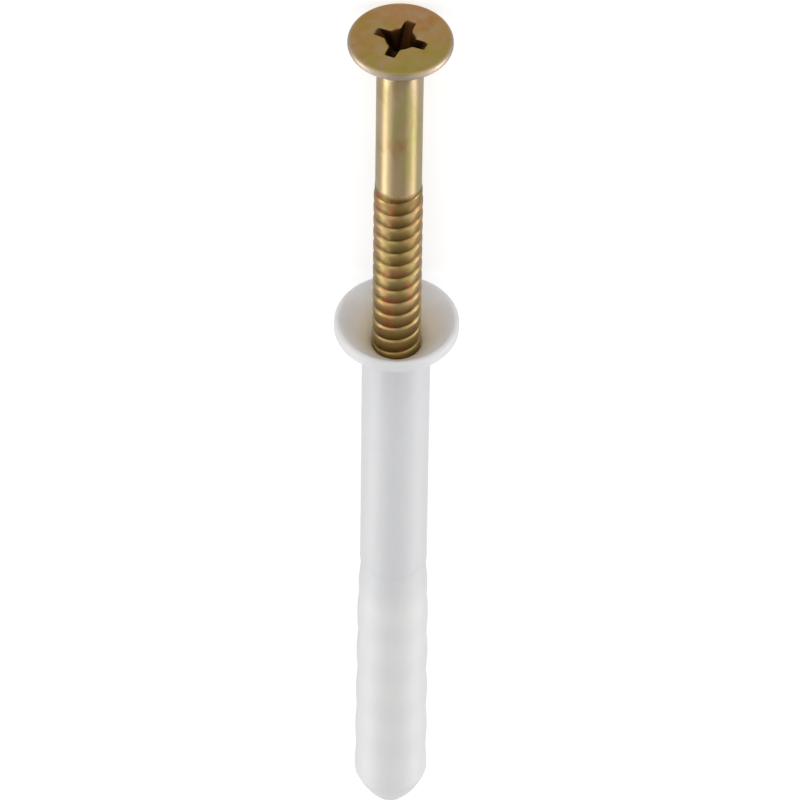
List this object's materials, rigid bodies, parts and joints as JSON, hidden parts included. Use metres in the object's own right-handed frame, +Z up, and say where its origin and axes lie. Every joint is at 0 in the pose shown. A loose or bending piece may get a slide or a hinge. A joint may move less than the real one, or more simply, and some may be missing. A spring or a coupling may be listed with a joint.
{
  "type": "hammer fixing plug",
  "caption": "White nylon fixing plug with a countersunk collar and a slit expansion zone, its yellow-passivated nail screw standing part-way out, ready to be hammered home.",
  "frame": {"origin": "on the floor under the middle of the plug, which lies on the edges of its collar and of the screw's head", "axes": "+X along the plug towards the sleeve's tip, +Z up; the plug's own axis rises by 1.64 degrees towards the tip"},
  "size_m": [0.1234, 0.0138, 0.0139],
  "materials": {
    "nylon": "moulded, white, slightly translucent",
    "passivated_steel": "zinc plated, yellow passivated"
  },
  "bodies": {
    "sleeve": {"plug_sleeve": "nylon"},
    "screw": {"hammer_screw": "passivated_steel"}
  },
  "joints": [
    {"name": "screw_drive", "type": "slide", "parent": "sleeve", "child": "screw", "axis": [0.9996, 0, 0.0286], "range_m": [0, 0.043]}
  ]
}
